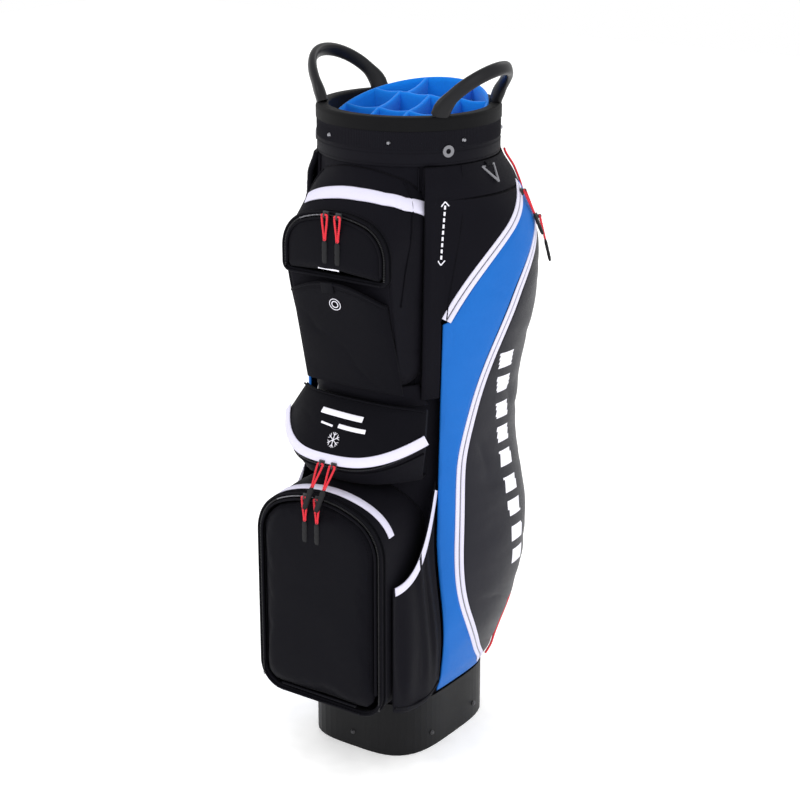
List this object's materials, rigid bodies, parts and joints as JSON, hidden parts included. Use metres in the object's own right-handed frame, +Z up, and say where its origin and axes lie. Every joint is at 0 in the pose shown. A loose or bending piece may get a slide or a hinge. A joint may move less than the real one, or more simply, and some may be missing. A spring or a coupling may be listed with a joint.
{
  "type": "golf cart bag",
  "caption": "Tall golf cart bag with divided club wells, two rim handles, hinged pocket doors, cooler lid, side zip pockets and swinging zip pulls.",
  "frame": {"origin": "centre of the underside of the base cup, on the floor", "axes": "+Z up through the club wells; -Y out of the pocket front; +X to the right of someone behind the bag facing the front, that is the side with the right handle"},
  "size_m": [0.3436, 0.3952, 0.9426],
  "materials": {
    "black_fabric": "fine woven",
    "black_metal": "satin",
    "black_plastic": "moulded, fine grain",
    "blue_brushed": "brushed",
    "blue_fabric": "woven, slightly creased",
    "foil": "foil lining",
    "grip_plastic": "satin moulded",
    "gunmetal": "satin",
    "red_cord": "twisted cord with a rubber tip",
    "rubber_pad": "matte",
    "stay": "drawn glass fibre",
    "steel": "plain",
    "stretch": "elastic knit",
    "white_tape": "smooth tape"
  },
  "bodies": {
    "bag": {"base_cup": "black_plastic", "base_rivets": "black_metal", "base_pad": "rubber_pad", "body_shell": "black_fabric", "stay_rods": "stay", "collar_band": "black_fabric", "collar_screws": "steel", "collar_eyelets": "steel", "top_rim": "grip_plastic", "divider_frame": "blue_brushed", "divider_ring": "blue_brushed", "divider_sleeves": "blue_brushed", "handle_left": "grip_plastic", "handle_right": "grip_plastic", "strap_loops": "black_fabric", "ball_pocket_box": "black_fabric", "upper_pocket_box": "black_fabric", "zip_tracks": "black_fabric", "range_pouch": "black_fabric", "range_magnets": "steel", "cooler_box": "black_fabric", "cooler_liner": "foil", "panel_left": "blue_fabric", "panel_right": "blue_fabric", "side_zip_tracks": "white_tape", "pass_through_left": "black_fabric", "pass_through_right": "black_fabric", "stretch_pocket_left": "stretch", "stretch_pocket_right": "stretch", "shoulder_strap": "black_fabric", "strap_pad": "black_fabric", "strap_anchors": "black_fabric", "umbrella_ring": "black_plastic"},
    "ball_door": {"ball_door": "black_fabric"},
    "upper_door": {"upper_door": "black_fabric"},
    "cooler_lid": {"cooler_lid": "black_fabric"},
    "apparel_pocket_left": {"apparel_pocket_left": "black_fabric"},
    "apparel_pocket_right": {"apparel_pocket_right": "black_fabric"},
    "d_ring_left": {"d_ring_left": "gunmetal"},
    "d_ring_right": {"d_ring_right": "gunmetal"},
    "ball_slider_left": {"ball_slider_left": "black_metal"},
    "ball_slider_right": {"ball_slider_right": "black_metal"},
    "upper_slider_left": {"upper_slider_left": "black_metal"},
    "upper_slider_right": {"upper_slider_right": "black_metal"},
    "cooler_slider_left": {"cooler_slider_left": "black_metal"},
    "cooler_slider_right": {"cooler_slider_right": "black_metal"},
    "apparel_slider_left": {"apparel_slider_left": "black_metal"},
    "apparel_slider_right": {"apparel_slider_right": "black_metal"},
    "valuables_slider_left": {"valuables_slider_left": "black_metal"},
    "valuables_slider_right": {"valuables_slider_right": "black_metal"},
    "ball_pull_left": {"ball_pull_left": "red_cord"},
    "ball_pull_right": {"ball_pull_right": "red_cord"},
    "upper_pull_left": {"upper_pull_left": "red_cord"},
    "upper_pull_right": {"upper_pull_right": "red_cord"},
    "cooler_pull_left": {"cooler_pull_left": "red_cord"},
    "cooler_pull_right": {"cooler_pull_right": "red_cord"},
    "apparel_pull_left": {"apparel_pull_left": "red_cord"},
    "apparel_pull_right": {"apparel_pull_right": "red_cord"},
    "valuables_pull_left": {"valuables_pull_left": "red_cord"},
    "valuables_pull_right": {"valuables_pull_right": "red_cord"}
  },
  "joints": [
    {"name": "ball_door_open", "type": "hinge", "parent": "bag", "child": "ball_door", "pos_m": [0, -0.17761, 0.105], "axis": [1, 0, 0], "range_deg": [0, 75]},
    {"name": "upper_door_open", "type": "hinge", "parent": "bag", "child": "upper_door", "pos_m": [0, -0.14895, 0.684], "axis": [1, 0, 0], "range_deg": [0, 75]},
    {"name": "cooler_lid_open", "type": "hinge", "parent": "bag", "child": "cooler_lid", "pos_m": [0, -0.11301, 0.51], "axis": [-1, 0, 0], "range_deg": [0, 50]},
    {"name": "ball_slider_left_run", "type": "hinge", "parent": "ball_door", "child": "ball_slider_left", "pos_m": [0, -0.19472, 0.241], "axis": [0, -1, 0], "range_deg": [0, 20]},
    {"name": "ball_pull_left_swing", "type": "hinge", "parent": "ball_slider_left", "child": "ball_pull_left", "pos_m": [-0.01495, -0.19472, 0.39347], "axis": [-1, 0, 0], "range_deg": [0, 110]},
    {"name": "ball_slider_right_run", "type": "hinge", "parent": "ball_door", "child": "ball_slider_right", "pos_m": [0, -0.19472, 0.241], "axis": [0, 1, 0], "range_deg": [0, 20]},
    {"name": "ball_pull_right_swing", "type": "hinge", "parent": "ball_slider_right", "child": "ball_pull_right", "pos_m": [0.00481, -0.19472, 0.39412], "axis": [-1, 0, 0], "range_deg": [0, 110]},
    {"name": "upper_slider_left_run", "type": "hinge", "parent": "upper_door", "child": "upper_slider_left", "pos_m": [0, -0.15406, 0.608], "axis": [0, -1, 0], "range_deg": [0, 13]},
    {"name": "upper_pull_left_swing", "type": "hinge", "parent": "upper_slider_left", "child": "upper_pull_left", "pos_m": [-0.00748, -0.15406, 0.76102], "axis": [-1, 0, 0], "range_deg": [0, 110]},
    {"name": "upper_slider_right_run", "type": "hinge", "parent": "upper_door", "child": "upper_slider_right", "pos_m": [0, -0.15406, 0.608], "axis": [0, 1, 0], "range_deg": [0, 13]},
    {"name": "upper_pull_right_swing", "type": "hinge", "parent": "upper_slider_right", "child": "upper_pull_right", "pos_m": [0.01229, -0.15406, 0.76071], "axis": [-1, 0, 0], "range_deg": [0, 110]},
    {"name": "cooler_slider_left_run", "type": "slide", "parent": "cooler_lid", "child": "cooler_slider_left", "axis": [-1, 0, 0], "range_m": [0, 0.04]},
    {"name": "cooler_pull_left_swing", "type": "hinge", "parent": "cooler_slider_left", "child": "cooler_pull_left", "pos_m": [-0.0035, -0.1746, 0.436], "axis": [-1, 0, 0], "range_deg": [0, 100]},
    {"name": "cooler_slider_right_run", "type": "slide", "parent": "cooler_lid", "child": "cooler_slider_right", "axis": [1, 0, 0], "range_m": [0, 0.04]},
    {"name": "cooler_pull_right_swing", "type": "hinge", "parent": "cooler_slider_right", "child": "cooler_pull_right", "pos_m": [0.0155, -0.17444, 0.4361], "axis": [-1, 0, 0], "range_deg": [0, 100]},
    {"name": "apparel_pocket_left_open", "type": "hinge", "parent": "bag", "child": "apparel_pocket_left", "pos_m": [-0.02581, 0.11882, 0.1], "axis": [0.002, -0.0365, -0.9993], "range_deg": [0, 18]},
    {"name": "apparel_slider_left_run", "type": "slide", "parent": "apparel_pocket_left", "child": "apparel_slider_left", "axis": [-0.4549, -0.6308, -0.6287], "range_m": [0, 0.0245]},
    {"name": "apparel_pull_left_swing", "type": "hinge", "parent": "apparel_slider_left", "child": "apparel_pull_left", "pos_m": [-0.15062, 0.10483, 0.73142], "axis": [0.5009, 0.8655, 0], "range_deg": [0, 90]},
    {"name": "valuables_slider_left_run", "type": "slide", "parent": "bag", "child": "valuables_slider_left", "axis": [-0.4666, -0.7148, -0.5209], "range_m": [0, 0.0346]},
    {"name": "valuables_pull_left_swing", "type": "hinge", "parent": "valuables_slider_left", "child": "valuables_pull_left", "pos_m": [-0.14568, 0.07356, 0.77064], "axis": [0.3523, 0.9359, 0], "range_deg": [0, 90]},
    {"name": "d_ring_left_swing", "type": "hinge", "parent": "bag", "child": "d_ring_left", "pos_m": [-0.1228, 0.02, 0.81], "axis": [0, 1, 0], "range_deg": [0, 95]},
    {"name": "apparel_pocket_right_open", "type": "hinge", "parent": "bag", "child": "apparel_pocket_right", "pos_m": [0.02581, 0.11882, 0.1], "axis": [0.002, 0.0365, 0.9993], "range_deg": [0, 18]},
    {"name": "apparel_slider_right_run", "type": "slide", "parent": "apparel_pocket_right", "child": "apparel_slider_right", "axis": [0.4549, -0.6308, -0.6287], "range_m": [0, 0.0245]},
    {"name": "apparel_pull_right_swing", "type": "hinge", "parent": "apparel_slider_right", "child": "apparel_pull_right", "pos_m": [0.15062, 0.10483, 0.73142], "axis": [0.5009, -0.8655, 0], "range_deg": [0, 90]},
    {"name": "valuables_slider_right_run", "type": "slide", "parent": "bag", "child": "valuables_slider_right", "axis": [0.4666, -0.7148, -0.5209], "range_m": [0, 0.0346]},
    {"name": "valuables_pull_right_swing", "type": "hinge", "parent": "valuables_slider_right", "child": "valuables_pull_right", "pos_m": [0.14568, 0.07356, 0.77064], "axis": [0.3523, -0.9359, 0], "range_deg": [0, 90]},
    {"name": "d_ring_right_swing", "type": "hinge", "parent": "bag", "child": "d_ring_right", "pos_m": [0.1228, 0.02, 0.81], "axis": [0, -1, 0], "range_deg": [0, 95]}
  ]
}
